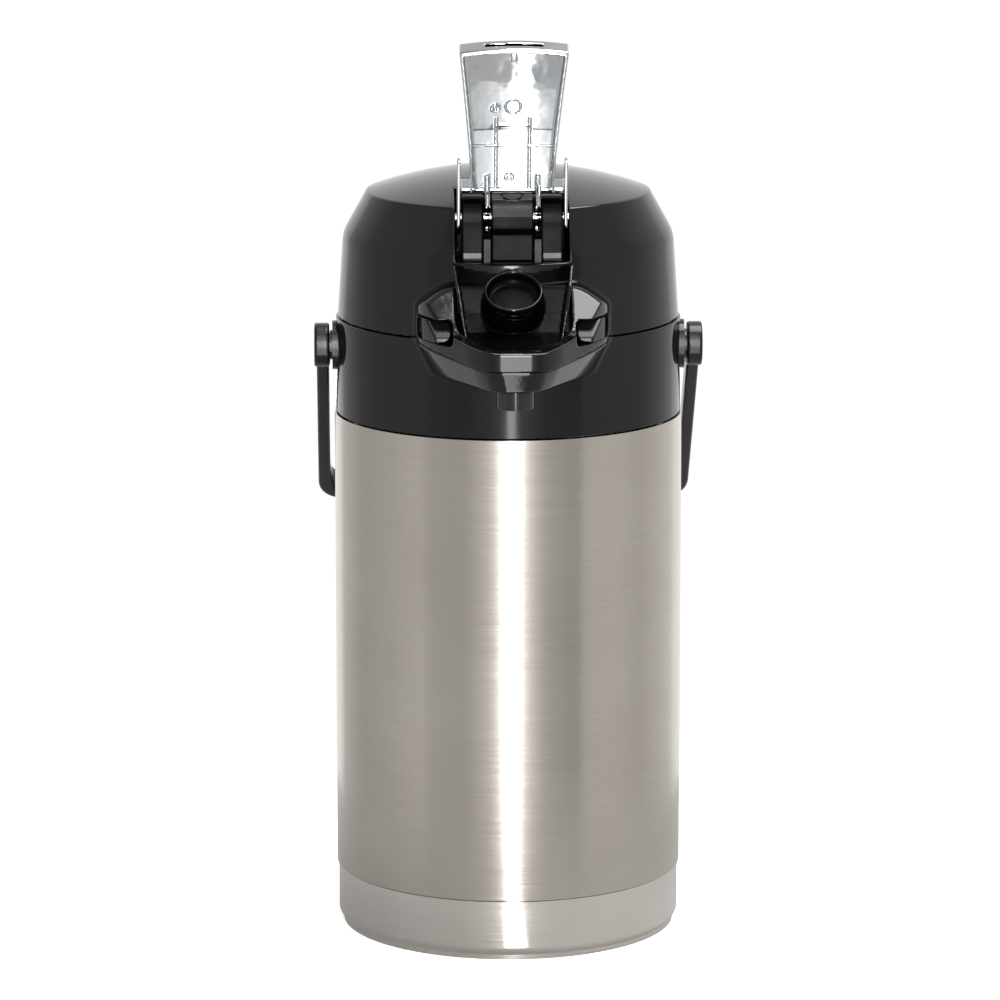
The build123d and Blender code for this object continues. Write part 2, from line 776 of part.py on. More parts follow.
# ---- Carrying bail, hanging behind the body ----
bail_drop = (bail_length**2 - bail_rest_back**2) ** 0.5
bail_plane = Plane(origin=(0, 0, bail_z), x_dir=(1, 0, 0), z_dir=(0, bail_drop, bail_rest_back))
grip_outer = bail_length + 4.0
grip_inner = bail_length - 4.5
with BuildPart() as handle:
    with BuildSketch(bail_plane.offset(-5.5)):
        with BuildLine():
            FilletPolyline(
                (bail_outer, 0),
                (bail_outer, grip_outer),
                (-bail_outer, grip_outer),
                (-bail_outer, 0),
                radius=24,
            )
            Line((-bail_outer, 0), (-bail_inner, 0))
            FilletPolyline(
                (-bail_inner, 0),
                (-bail_inner, grip_inner),
                (bail_inner, grip_inner),
                (bail_inner, 0),
                radius=18,
            )
            Line((bail_inner, 0), (bail_outer, 0))
        make_face()
    extrude(amount=11)
    fillet(handle.edges().filter_by(GeomType.LINE).filter_by(Axis.X), radius=1.5)
    for side in (1, -1):
        with BuildSketch(Plane.YZ.offset(side * hub_inner)):
            with Locations((0, bail_z)):
                Circle(hub_radius)
        extrude(amount=side * (hub_outer - hub_inner))
        with BuildSketch(Plane.YZ.offset(side * (hub_inner - 1))):
            with Locations((0, bail_z)):
                Circle(bail_pin_radius + running_gap)
        extrude(amount=side * 6.6, mode=Mode.SUBTRACT)
handle.part.label = "handle"
export_step(handle.part, "parts/handle.step")

with BuildPart() as pivot_bosses:
    for side in (1, -1):
        for x, radius, length in ((79.65, 11.65, 3.75), (83.4, 7.0, 1.2), (84.6, bail_pin_radius, 5.4)):
            with BuildSketch(Plane.YZ.offset(side * x)):
                with Locations((0, bail_z)):
                    Circle(radius)
            extrude(amount=side * length)
        with BuildSketch(Plane.YZ.offset(side * 79)):
            with Locations((0, bail_z)):
                Circle(1.85)
        extrude(amount=side * 9, mode=Mode.SUBTRACT)
pivot_bosses.part.label = "pivot_bosses"
export_step(pivot_bosses.part, "parts/pivot_bosses.step")

with BuildPart() as pivot_screws:
    for side in (1, -1):
        for x, radius, length in ((71.8, 3.8, 2.15), (73.95, 1.8, 13.0)):
            with BuildSketch(Plane.YZ.offset(side * x)):
                with Locations((0, bail_z)):
                    Circle(radius)
            extrude(amount=side * length)
pivot_screws.part.label = "pivot_screws"
export_step(pivot_screws.part, "parts/pivot_screws.step")
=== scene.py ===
"""Looks of the pump pot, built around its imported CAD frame.

Shapes are written in millimetres, in the frame's own axes (spout towards -Y, +Z up), and
become metres when a mesh is made. Moulded and cast pieces are distance functions: below zero
is inside, and soft unions and cuts give every edge its small moulded radius.
"""

from itertools import product
from math import cos, pi, radians, sin

import bpy
import numpy as np
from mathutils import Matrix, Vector


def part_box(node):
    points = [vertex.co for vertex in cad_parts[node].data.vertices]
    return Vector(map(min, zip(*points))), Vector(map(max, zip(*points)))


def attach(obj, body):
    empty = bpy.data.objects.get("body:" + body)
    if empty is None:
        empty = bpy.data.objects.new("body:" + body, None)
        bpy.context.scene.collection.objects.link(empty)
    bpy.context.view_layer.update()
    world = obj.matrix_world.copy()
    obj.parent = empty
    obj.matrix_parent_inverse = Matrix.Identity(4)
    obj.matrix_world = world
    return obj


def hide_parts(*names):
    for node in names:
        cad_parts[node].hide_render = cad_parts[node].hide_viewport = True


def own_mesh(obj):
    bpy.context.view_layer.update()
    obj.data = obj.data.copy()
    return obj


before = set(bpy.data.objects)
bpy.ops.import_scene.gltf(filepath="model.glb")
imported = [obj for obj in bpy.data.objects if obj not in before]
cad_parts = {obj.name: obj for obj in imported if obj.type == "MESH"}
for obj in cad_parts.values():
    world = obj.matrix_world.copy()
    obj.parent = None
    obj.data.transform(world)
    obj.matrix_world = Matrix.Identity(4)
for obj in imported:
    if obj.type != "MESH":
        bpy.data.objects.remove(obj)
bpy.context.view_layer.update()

MM = 0.001


# ---- Sizes read from the frame ----
def corner_mm(node):
    """A node's lowest and highest corners in millimetres."""
    low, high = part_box(node)
    return Vector(low) / MM, Vector(high) / MM


def middle_mm(node):
    """The middle of a node's box in millimetres."""
    return [(low + high) / 2 for low, high in zip(*corner_mm(node))]


collar_low, collar_high = corner_mm("collar")
lid_low, lid_high = corner_mm("lid_shell")
latch_low, latch_high = corner_mm("latch")
nozzle_low, nozzle_high = corner_mm("nozzle")
bellows_low, bellows_high = corner_mm("bellows")
spring_low, spring_high = corner_mm("bellows_spring")
_, PIN_Y, PIN_Z = middle_mm("lever_pin")

# Rounded, because the frame's own numbers are single precision.
COLLAR_R = round(collar_high.x, 3)
SEAM_Z = round(collar_high.z, 3)
CHIN_FRONT = round(lid_low.y, 3)
DOME_TOP = round(lid_high.z, 3)
BAIL_Z = round(middle_mm("pivot_bosses")[2], 3)
NOZZLE_Y = round(middle_mm("nozzle")[1], 3)
PIPE_Z = round(middle_mm("spout_pipe")[2], 3)

# Sizes that the moulded pieces share.
WALL = 2.4
CHANNEL_HALF = 26.2
CHANNEL_FLOOR = 331.0
CHANNEL_REAR = -37.0
ABOVE = 400.0
PIN_HOLE_R = 2.06


# ---- Distance functions ----
def soft_max(a, b, k):
    """The larger of two distances, with their meeting edge rounded over about k."""
    near = np.maximum(k - np.abs(a - b), 0)
    return np.maximum(a, b) + near * near / (4 * k)


def soft_min(a, b, k):
    """The union of two shapes with a fillet of about k."""
    return -soft_max(-a, -b, k)


def cut(a, b, k):
    """Shape a with shape b taken out of it."""
    return soft_max(a, -b, k)


def both(k, *shapes):
    """What all the shapes share."""
    whole = shapes[0]
    for shape in shapes[1:]:
        whole = soft_max(whole, shape, k)
    return whole


def slab(value, low, high):
    """Between two parallel planes."""
    return np.maximum(low - value, value - high)


def plane(u, v, start, end):
    """Right-hand side of the line from start to end is outside, in the plane of u and v."""
    du, dv = end[0] - start[0], end[1] - start[1]
    length = (du * du + dv * dv) ** 0.5
    return ((u - start[0]) * dv - (v - start[1]) * du) / length


def polygon(u, v, points):
    """Distance to a closed outline."""
    nearest = np.full(np.shape(u), 1e9)
    inside = np.zeros(np.shape(u), bool)
    for (au, av), (bu, bv) in zip(points, points[1:] + points[:1]):
        du, dv = bu - au, bv - av
        along = ((u - au) * du + (v - av) * dv) / (du * du + dv * dv)
        along = np.clip(along, 0, 1)
        gap = np.hypot(u - au - along * du, v - av - along * dv)
        nearest = np.minimum(nearest, gap)
        crosses = (av > v) != (bv > v)
        inside ^= crosses & (u < du * (v - av) / (dv if dv else 1e-9) + au)
    return np.where(inside, -nearest, nearest)


# ---- Surface of a distance function ----
def slope(distance, points):
    """Gradient and value of a distance function at points."""
    reach = 0.01
    grads = []
    for axis in range(3):
        ahead, behind = points.copy(), points.copy()
        ahead[:, axis] += reach
        behind[:, axis] -= reach
        grads.append((distance(*ahead.T) - distance(*behind.T)) / (2 * reach))
    return np.stack(grads, 1), distance(*points.T)


def surface(distance, low, high, step):
    """Points, outward normals and quads of the zero surface between two corners.

    Every grid cell that the surface crosses gets one point, at first the mean of the crossings on
    its edges, which then moves along the gradient onto the surface itself.
    """
    axes = [np.arange(a - 1.5 * step, b + 2.5 * step, step) for a, b in zip(low, high)]
    field = distance(*np.meshgrid(*axes, indexing="ij"))
    inside = field < 0
    shape = np.array(field.shape)
    changed = np.zeros(shape - 1, bool)
    corners = list(product((0, 1), repeat=3))

    def shifted(values, corner):
        return values[tuple(slice(c, c + n - 1) for c, n in zip(corner, shape))]

    for corner in corners:
        changed |= shifted(inside, corner) != shifted(inside, (0, 0, 0))
    cells = np.argwhere(changed)
    number = np.full(shape - 1, -1)
    number[changed] = np.arange(len(cells))

    total = np.zeros((len(cells), 3))
    hits = np.zeros(len(cells))
    for corner, axis in product(corners, range(3)):
        if corner[axis]:
            continue
        unit = np.eye(3, dtype=int)[axis]
        here = field[tuple((cells + corner).T)]
        there = field[tuple((cells + corner + unit).T)]
        hit = (here < 0) != (there < 0)
        share = here[hit] / (here[hit] - there[hit])
        total[hit] += np.array(corner) + share[:, None] * unit
        hits[hit] += 1
    start = np.array([a[0] for a in axes])
    points = start + step * (cells + total / hits[:, None])
    for _ in range(4):
        grad, value = slope(distance, points)
        size = np.maximum((grad * grad).sum(1), 0.25)
        move = grad * (value / size)[:, None]
        points -= np.clip(move, -0.4 * step, 0.4 * step)
    grad, value = slope(distance, points)
    normals = grad / np.maximum(np.linalg.norm(grad, axis=1), 1e-6)[:, None]

    quads = []
    for axis in range(3):
        first, second = np.eye(3, dtype=int)[(axis + 1) % 3], np.eye(3, dtype=int)[(axis + 2) % 3]
        unit = np.eye(3, dtype=int)[axis]
        spans = [slice(1, n - 1) for n in shape]
        spans[axis] = slice(0, shape[axis] - 1)
        lower = inside[tuple(spans)]
        spans[axis] = slice(1, shape[axis])
        flips = lower != inside[tuple(spans)]
        nodes = np.argwhere(flips) + 1 - unit
        outward = lower[flips]
        ring = [nodes - first - second, nodes - second, nodes, nodes - first]
        ids = np.stack([number[tuple(n.T)] for n in ring], 1)
        quads += [ids[outward], ids[~outward][:, ::-1]]
    return points, normals, np.concatenate(quads)


def add_piece(name, mesh, body, slot, node):
    """A finished mesh as a piece of the object, in place of a CAD node."""
    piece = bpy.data.objects.new(name, mesh)
    bpy.context.scene.collection.objects.link(piece)
    mesh.materials.append(materials[slot])
    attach(piece, body)
    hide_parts(node)
    return piece


def moulded(name, node, distance, step, body, slot, inner=None, place=None):
    """A piece whose skin is the zero surface of a distance function, on a grid of a given step.

    inner holds a second material and the test of the faces that take it. place is for a distance
    function in a piece's own leaning axes: the grid's two corners, a turn about x and an origin.
    """
    low, high, turn, origin = place or (*corner_mm(node), 0.0, (0, 0, 0))
    points, normals, quads = surface(distance, low, high, step)
    middles = points[quads].mean(axis=1)
    back = np.array([(1, 0, 0), (0, cos(turn), sin(turn)), (0, -sin(turn), cos(turn))])
    points, normals = points @ back + origin, normals @ back
    mesh = bpy.data.meshes.new(name)
    mesh.from_pydata((points * MM).tolist(), [], quads.tolist())
    mesh.update()
    mesh.shade_smooth()
    mesh.normals_split_custom_set_from_vertices(normals.tolist())
    piece = add_piece(name, mesh, body, slot, node)
    if inner:
        second, test = inner
        mesh.materials.append(materials[second])
        mesh.polygons.foreach_set("material_index", test(*middles.T).astype(np.int32))
    return piece


# ---- Materials ----
class Tree:
    """Short way to build a node tree."""

    def __init__(self, tree):
        self.tree = tree

    def add(self, kind, **values):
        node = self.tree.nodes.new(kind)
        for key, value in values.items():
            setattr(node, key, value)
        return node

    def feed(self, value, target):
        """Gives an input a number, a colour or another node's output."""
        if isinstance(value, bpy.types.NodeSocket):
            self.tree.links.new(value, target)
        elif isinstance(value, tuple):
            target.default_value = (*value, 1)
        else:
            target.default_value = value

    def spread(self, value, low, high, start=0.3, end=0.7):
        """A value from start to end, spread from low to high."""
        node = self.add("ShaderNodeMapRange")
        ends = {"From Min": start, "From Max": end, "To Min": low, "To Max": high}
        for key, limit in ends.items():
            node.inputs[key].default_value = limit
        self.feed(value, node.inputs["Value"])
        return node.outputs["Result"]

    def mix(self, factor, first, second, kind="MIX"):
        """Two colours mixed by a factor."""
        node = self.add("ShaderNodeMix", data_type="RGBA", blend_type=kind)
        self.feed(factor, node.inputs["Factor"])
        self.feed(first, node.inputs["A"])
        self.feed(second, node.inputs["B"])
        return node.outputs["Result"]


class Material(Tree):
    """Short way to write a node material."""

    def __init__(self, name):
        self.material = bpy.data.materials.new(name)
        self.material.use_nodes = True
        super().__init__(self.material.node_tree)
        self.shader = self.tree.nodes["Principled BSDF"]
        self.place = self.add("ShaderNodeTexCoord").outputs["Object"]

    def set(self, **values):
        """Gives the shader's inputs numbers or other nodes' outputs."""
        for key, value in values.items():
            self.feed(value, self.shader.inputs[key.replace("_", " ")])

    def noise(self, scale, detail=3.0, stretch=(1, 1, 1)):
        """A noise value in the object's own space, stretched along an axis."""
        mapping = self.add("ShaderNodeMapping")
        mapping.inputs["Scale"].default_value = stretch
        self.feed(self.place, mapping.inputs["Vector"])
        noise = self.add("ShaderNodeTexNoise")
        noise.inputs["Scale"].default_value = scale
        noise.inputs["Detail"].default_value = detail
        self.feed(mapping.outputs["Vector"], noise.inputs["Vector"])
        return noise.outputs["Fac"]

    def blend(self, value, first, second):
        """Two colours mixed by a noise value."""
        return self.mix(self.spread(value, 0, 1), first, second)

    def bump(self, value, strength, distance):
        """A normal bent by a height value."""
        bump = self.add("ShaderNodeBump")
        bump.inputs["Strength"].default_value = strength
        bump.inputs["Distance"].default_value = distance
        self.feed(value, bump.inputs["Height"])
        return bump.outputs["Normal"]


def plastic(name, dark, light, rough_low, rough_high, grain, depth, gloss=0.5, index=1.5):
    """Moulded plastic: slightly uneven colour and gloss over a fine moulded grain."""
    m = Material(name)
    m.set(
        Base_Color=m.blend(m.noise(45, 4), dark, light),
        Roughness=m.spread(m.noise(120, 5), rough_low, rough_high),
        Normal=m.bump(m.noise(grain, 3), 0.35, depth),
        IOR=index,
        Specular_IOR_Level=gloss,
    )
    return m.material


def brushed(name, dark, light, rough, lines=9000.0):
    """Steel brushed round the axis: fine level lines in colour, gloss and height, and faint smudges."""
    m = Material(name)
    along_brush = 40.0 / lines
    fine = m.noise(lines, 3, (along_brush, along_brush, 1))
    broad = m.noise(lines / 6, 4, (along_brush * 5, along_brush * 5, 1))
    smudge = m.blend(m.noise(16, 5), (0.84, 0.83, 0.80), (1.0, 1.0, 1.0))
    m.set(
        Base_Color=m.mix(0.5, m.blend(fine, dark, light), smudge, "MULTIPLY"),
        Roughness=m.spread(broad, rough - 0.05, rough + 0.05),
        Normal=m.bump(broad, 0.45, 0.00005),
        Tangent=m.add("ShaderNodeTangent", direction_type="RADIAL", axis="Z").outputs["Tangent"],
        Metallic=1.0,
        Anisotropic=0.7,
        Anisotropic_Rotation=0.25,
    )
    return m.material


def chrome(name):
    """Chrome plating over moulded plastic: mirror-bright with faint sink waves and smudges."""
    m = Material(name)
    m.set(
        Base_Color=m.blend(m.noise(60, 3), (0.60, 0.63, 0.66), (0.72, 0.73, 0.73)),
        Roughness=m.spread(m.noise(90, 5), 0.03, 0.1),
        Normal=m.bump(m.noise(70, 2), 0.25, 0.0009),
        Metallic=1.0,
    )
    return m.material


def metal(name, dark, light, rough):
    """Plain machined or drawn steel, out of sight on most of the pot."""
    m = Material(name)
    m.set(
        Base_Color=m.blend(m.noise(300, 4, (1, 1, 0.1)), dark, light),
        Roughness=m.spread(m.noise(150, 4), rough - 0.06, rough + 0.06),
        Normal=m.bump(m.noise(900, 2), 0.2, 0.00003),
        Metallic=1.0,
    )
    return m.material


def rubber(name, dark, light):
    """Soft matte moulding with a dusty surface."""
    m = Material(name)
    m.set(
        Base_Color=m.blend(m.noise(80, 5), dark, light),
        Roughness=m.spread(m.noise(200, 4), 0.55, 0.75),
        Normal=m.bump(m.noise(2600, 3), 0.4, 0.00004),
    )
    return m.material


FINE, COARSE = 0.00004, 0.00005
looks = {
    "black_gloss": (plastic, (0.002, 0.003, 0.002), (0.004, 0.005, 0.004), 0.04, 0.09, 260, FINE, 0.42),
    # painted shade: a darker, less reflective black for faces in recesses, where shade falls
    "cavity_black": (plastic, (0.001, 0.001, 0.001), (0.003, 0.002, 0.002), 0.2, 0.3, 900, FINE, 0.5, 1.16),
    "black_satin": (plastic, (0.004, 0.005, 0.004), (0.008, 0.009, 0.008), 0.16, 0.26, 1500, FINE, 0.4),
    "black_matte": (plastic, (0.003, 0.003, 0.003), (0.006, 0.006, 0.005), 0.3, 0.42, 2400, COARSE, 0.35),
    "nozzle_gloss": (plastic, (0.014, 0.013, 0.013), (0.024, 0.022, 0.022), 0.05, 0.11, 320, FINE),
    "white_plastic": (plastic, (0.72, 0.72, 0.70), (0.80, 0.80, 0.78), 0.35, 0.5, 1200, FINE),
    "brushed_steel": (brushed, (0.59, 0.545, 0.49), (0.66, 0.615, 0.56), 0.22),
    "base_steel": (brushed, (0.80, 0.75, 0.70), (0.87, 0.83, 0.78), 0.22),
    "flask_steel": (metal, (0.52, 0.51, 0.50), (0.62, 0.61, 0.60), 0.3),
    "screw_steel": (metal, (0.55, 0.54, 0.52), (0.66, 0.65, 0.63), 0.25),
    "chrome_plate": (chrome,),
    "seal_rubber": (rubber, (0.55, 0.54, 0.52), (0.66, 0.65, 0.62)),
}
materials = {name: make(name, *look) for name, (make, *look) in looks.items()}


def dress_frame():
    """Gives every CAD node that stays in view the material of its own slot."""
    for name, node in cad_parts.items():
        for place in node.material_slots:
            kind = place.material.name.split(".")[0] if place.material else ""
            chosen = materials.get(kind)
            if chosen is None:
                raise SystemExit(f"node {name} has a slot {kind} with no material here")
            place.material = chosen


dress_frame()


# ---- Lid ----
CREASE_R, CREASE_Z = 67.0, 354.5
SIDE_BOTTOM, SIDE_TOP = (80.8, 295.2), (78.2, 334.5)
dome_rise = DOME_TOP - CREASE_Z
CAP_R = (CREASE_R**2 + dome_rise**2) / (2 * dome_rise)


def dome(x, y, z):
    """The lid's round body, open below."""
    r = np.hypot(x, y)
    side = plane(r, z, SIDE_BOTTOM, SIDE_TOP)
    shoulder = plane(r, z, SIDE_TOP, (CREASE_R, CREASE_Z))
    cap = np.hypot(r, z - DOME_TOP + CAP_R) - CAP_R
    return soft_max(soft_max(side, shoulder, 1.8), cap, 0.5)


# Half of the chin's outline from above, from its root to its front.
chin_half = [(45.2, -60), (45.2, -77), (41.2, -91), (33, -106), (19, -131), (12, CHIN_FRONT)]


def chin_plan(x, y, grow=0.0):
    """The chin's outline from above, with its corners rounded."""
    sides = [np.abs(x) - chin_half[0][0]]
    for start, end in zip(chin_half[1:], chin_half[2:]):
        sides.append(plane(np.abs(x), -y, (start[0], -start[1]), (end[0], -end[1])))
    sides.append(CHIN_FRONT - y)
    whole = sides[0]
    for side in sides[1:]:
        whole = soft_max(whole, side, 3.5)
    return whole - grow


def seam_plane(y, z):
    """The sloping parting line of the chin: positive above it."""
    slope_start, drop_per_mm = 82.0, 0.08
    return z - SEAM_Z + drop_per_mm * np.maximum(-y - slope_start, 0)


# Side views of the valley and of a fin: reach towards the front, and height.
scoop_side = [
    (74.0, 345.0),
    (74.0, 331.6),
    (78.6, 331.0),
    (80.6, 320.0),
    (84.5, 309.0),
    (92.0, 301.5),
    (106.0, 298.0),
    (134.0, 295.6),
    (134.0, 345.0),
]
fin_side = [
    (76.0, 300.0),
    (76.0, 331.0),
    (80.5, 330.6),
    (91.0, 323.0),
    (99.5, 313.0),
    (104.5, 298.0),
    (100.0, 296.0),
]
VALLEY_HALF = 26.4
FIN_WALL, FIN_LEAN = 1.5, 0.17
RIM_WIDTH = 6.5


def trough(x, y, z):
    """The valley between the two wings: a steep curved back, then a floor inside the rim."""
    outline = soft_max(np.abs(x) - VALLEY_HALF, chin_plan(x, y) + RIM_WIDTH, 2.0)
    return both(1.0, outline, polygon(-y, z, scoop_side))


def fins(x, y, z):
    """A thin leaning wall on each side of the valley, from the channel's corner to its floor."""
    lean = np.abs(x) - VALLEY_HALF + np.maximum(CHANNEL_FLOOR - z, 0) * FIN_LEAN
    return both(0.6, slab(lean, 0, FIN_WALL), polygon(-y, z, fin_side))


def upper_chin(x, y, z):
    """The lid's half of the chin: two wings that fall forwards and outwards to the rim."""
    steep = plane(-y, z, (140.0, 281.0), (77.0, 323.5))
    wing_start, wing_run, wing_top, wing_drop = 27, 18, 322.0, 10.5
    share = np.clip((np.abs(x) - wing_start) / wing_run, 0, 1.5)
    outwards = (z - wing_top + wing_drop * share**1.7) * 0.82
    rim = plane(-y, z, (137.5, 299.0), (96.0, 304.6))
    roof = soft_min(both(2.4, steep, outwards), rim, 2.0)
    return both(1.1, chin_plan(x, y), roof, y + 58)


def box(x, y, z, low, high, k=0.8):
    """A block with rounded edges."""
    return both(k, slab(x, low[0], high[0]), slab(y, low[1], high[1]), slab(z, low[2], high[2]))


TUB_SIDE, TUB_WALL = 3.3, 2.5
BOSS_R = 10.5
BOSS_SPAN = (13.1, 23.3)
NUB_WIDTH = 13.5
LATCH_GAP = 0.4
HINGE_Y, HINGE_Z = 86.4, 297.4
BOWL_Y, BOWL_Z = -90.0, 320.4
BOWL_R = 13.4
CUP_DEPTH = 16.0
BOWL_TILT = radians(56)
CUP_RIBS, RIB_PITCH = 5, 2.2


def bowl_axes(x, y, z):
    """Distance along the bowl's axis and away from it."""
    ny, nz = -cos(BOWL_TILT), sin(BOWL_TILT)
    along = (y - BOWL_Y) * ny + (z - BOWL_Z) * nz
    across = (y - BOWL_Y) * nz - (z - BOWL_Z) * ny
    return along, np.hypot(x, across)


def with_cup(body, hollow, x, y, z):
    """The body with the round cup of the valley: a wall, a well and level ribs on its front."""
    along, away = bowl_axes(x, y, z)
    wall = both(0.9, away - BOWL_R + 0.05 * along, slab(along, -CUP_DEPTH, 0.4), -hollow)
    well = both(3.0, away - BOWL_R + 1.3, slab(along, -5.6, 30))
    body = cut(soft_min(body, wall, 1.2), well, 0.9)
    for rib in range(CUP_RIBS):
        ridge = np.hypot(away - BOWL_R - 0.15, along + 3.4 + RIB_PITCH * rib) - 0.55
        body = soft_min(body, both(0.4, ridge, np.abs(x) - 9.0, y - BOWL_Y), 0.4)
    return body


def pin_bosses(x, y, z):
    """The two bosses that carry the lever's pin, with straight feet down to the channel."""
    boss = np.hypot(y - PIN_Y, z - PIN_Z) - BOSS_R
    foot = soft_max(np.abs(y - PIN_Y) - 10.4, slab(z, CHANNEL_FLOOR - 1, PIN_Z), 0.5)
    return soft_max(soft_min(boss, foot, 0.5), slab(np.abs(x), *BOSS_SPAN), 0.9)


def hinge_lug(x, y, z):
    """The lug at the back that turns on the hinge pin."""
    side = [(78.5, 296.5), (86.4, 293.8), (90.0, 297.0), (88.2, 301.2), (79.0, 310.5)]
    return soft_max(polygon(y, z, side) - 0.8, np.abs(x) - 11.6, 0.6)


def lid(x, y, z):
    """The whole lid shell."""
    wide = np.abs(x)
    tub_low = (-CHANNEL_HALF - TUB_SIDE, -95, CHANNEL_FLOOR - TUB_WALL)
    tub_high = (CHANNEL_HALF + TUB_SIDE, CHANNEL_REAR + TUB_WALL, ABOVE)
    round_body = dome(x, y, z)
    hollow = cut(round_body + WALL, box(x, y, z, tub_low, tub_high), 0.8)
    body = soft_min(round_body, upper_chin(x, y, z), 1.6)
    body = cut(body, hollow, 0.8)

    channel_low = (-CHANNEL_HALF, -110, CHANNEL_FLOOR)
    channel_high = (CHANNEL_HALF, CHANNEL_REAR, ABOVE)
    body = cut(body, box(x, y, z, channel_low, channel_high, 1.6), 1.2)
    body = cut(body, trough(x, y, z), 1.0)
    body = soft_min(body, fins(x, y, z), 0.5)
    body = with_cup(body, hollow, x, y, z)
    body = soft_min(body, pin_bosses(x, y, z), 0.8)

    pipe_tunnel = box(x, y, z, (-9.4, -127, 270), (9.4, -70, 293.9))
    cam_slots = box(wide, y, z, (9.9, -75.6, 325), (13.6, -49, 337), 0.5)
    guide_low = (latch_high.x - NUB_WIDTH - LATCH_GAP, -115, latch_low.z - LATCH_GAP)
    guide_high = (latch_high.x + 3, -76, latch_high.z + LATCH_GAP)
    latch_guides = box(wide, y, z, guide_low, guide_high, 3.0)
    pin_hole = soft_max(np.hypot(y - PIN_Y, z - PIN_Z) - 2.1, wide - 28.5, 0.2)
    for opening, edge in ((pipe_tunnel, 0.5), (cam_slots, 0.4), (latch_guides, 0.5), (pin_hole, 0.3)):
        body = cut(body, opening, edge)

    body = soft_max(body, 0.5 - seam_plane(y, z), 0.5)
    pin_way = np.hypot(y - HINGE_Y, z - HINGE_Z) - PIN_HOLE_R
    return cut(soft_min(body, hinge_lug(x, y, z), 1.0), pin_way, 0.2)


def in_recess(x, y, z):
    """Faces of the lever channel and of the valley, which take painted shade: a deeper and duller black."""
    wide = np.abs(x)
    inside = dome(x, y, z) < -0.6
    off_fins = fins(x, y, z) > 0.3
    channel = (wide < CHANNEL_HALF + 0.6) & (y < CHANNEL_REAR + 1) & (y > -90) & (z > 329) & inside
    bosses = (wide < CHANNEL_HALF - 2) & (y < CHANNEL_REAR) & (z > CHANNEL_FLOOR + 1)
    well = (wide < VALLEY_HALF + 0.4) & (trough(x, y, z) < 0.9) & off_fins
    lip = (wide < VALLEY_HALF) & (y < -70) & (z > 318) & (z < CHANNEL_FLOOR + 2) & off_fins
    along, away = bowl_axes(x, y, z)
    edge = (away > BOWL_R - 1.4) & (np.abs(along) < 1.2)
    return (channel | bosses | well | lip) & ~edge


moulded("lid_body", "lid_shell", lid, 0.8, "lid", "black_gloss", ("cavity_black", in_recess))


# ---- Collar ----
CHIN_BOTTOM = 280.0
COLLAR_WALL = 4.8
PAD_REACH = 79.6


def lower_chin(x, y, z, inset=0.0):
    """The collar's half of the chin, tapering down to a blunt bottom."""
    drop = np.clip(SEAM_Z - z, 0, 20)
    outline = chin_plan(x, y) + drop * np.tan(radians(26)) + inset
    return both(1.4, outline * cos(radians(20)), CHIN_BOTTOM + inset - z, seam_plane(y, z))


def pad(x, y, z):
    """The flat teardrop land of a bail pivot, cut into the collar."""
    circle = np.hypot(y, z - BAIL_Z) - 13.4
    tail = polygon(y, z, [(-13.3, BAIL_Z), (13.3, BAIL_Z), (5, 254), (-5, 254)])
    return soft_max(soft_min(circle, tail, 2.0), PAD_REACH - np.abs(x), 0.4)


def collar(x, y, z):
    """The whole shoulder moulding."""
    wide = np.abs(x)
    r = np.hypot(x, y)
    from_pivot = np.hypot(y, z - BAIL_Z)
    tube = both(0.7, r - COLLAR_R, COLLAR_R - COLLAR_WALL - r, slab(z, collar_low.z, SEAM_Z))
    tube = cut(tube, pad(x, y, z), 0.5)
    land = both(0.5, from_pivot - 12.0, slab(wide, 74.0, PAD_REACH))
    shell = cut(lower_chin(x, y, z), lower_chin(x, y, z - 3.0, 2.2), 0.5)
    shell = soft_max(shell, 79.4 - r, 0.4)
    whole = soft_min(tube, shell, 2.6)
    whole = soft_min(whole, land, 0.6)
    deck_r, deck_top = 47.5, 281.5
    deck = both(0.5, slab(r, deck_r, 80.5), slab(z, deck_top - WALL, deck_top))
    skirt = both(0.5, slab(r, deck_r, deck_r + WALL), slab(z, 267.6, deck_top))
    whole = soft_min(whole, soft_min(deck, skirt, 0.8), 0.8)
    nozzle_hole = soft_max(np.hypot(x, y - NOZZLE_Y) - 6.6, slab(z, 270, 286), 0.3)
    whole = cut(whole, nozzle_hole, 0.4)
    screw_way = soft_max(from_pivot - 2.1, slab(wide, 60, 90), 0.2)
    head_way = soft_max(from_pivot - 5.5, slab(wide, 60, 74), 0.2)
    whole = cut(cut(whole, screw_way, 0.3), head_way, 0.3)
    hinge_feet = box(wide, y, z, (12, 77.4, 284), (23, 83.6, 292.6), 0.6)
    return soft_min(whole, hinge_feet, 0.6)


moulded("collar_body", "collar", collar, 0.8, "pot", "black_gloss")


# ---- Lever ----
def half_width(s):
    """The tray's half width along its length."""
    return 18.9 + 6.1 * (np.maximum(s - 15, 0) / 77) ** 1.25


TRAY_LOW, TRAY_HIGH = -5.5, 3.2
LEAN = radians(115)
LEVER_TURN = radians(85)
PUMP_STROKE = 14.0
CAM_START, CAM_PITCH = 8.0, PUMP_STROKE / LEVER_TURN
CAM_POINTS = 8


def cam(s, u):
    """The involute rib that pushes the pump plate down as the lever turns."""
    edge = [(0.0, -7.0)]
    for step in range(CAM_POINTS + 1):
        turn = LEVER_TURN * step / CAM_POINTS
        reach = CAM_START + CAM_PITCH * turn
        y = -CAM_PITCH * cos(turn) - reach * sin(turn)
        z = CAM_PITCH * sin(turn) - reach * cos(turn)
        edge.append((y * cos(LEAN) + z * sin(LEAN), -y * sin(LEAN) + z * cos(LEAN)))
    fin = [(19.5, 11.5), (24, 1.0), (24, -4.0), (10, -4.5)]
    return polygon(s, u, edge + fin)


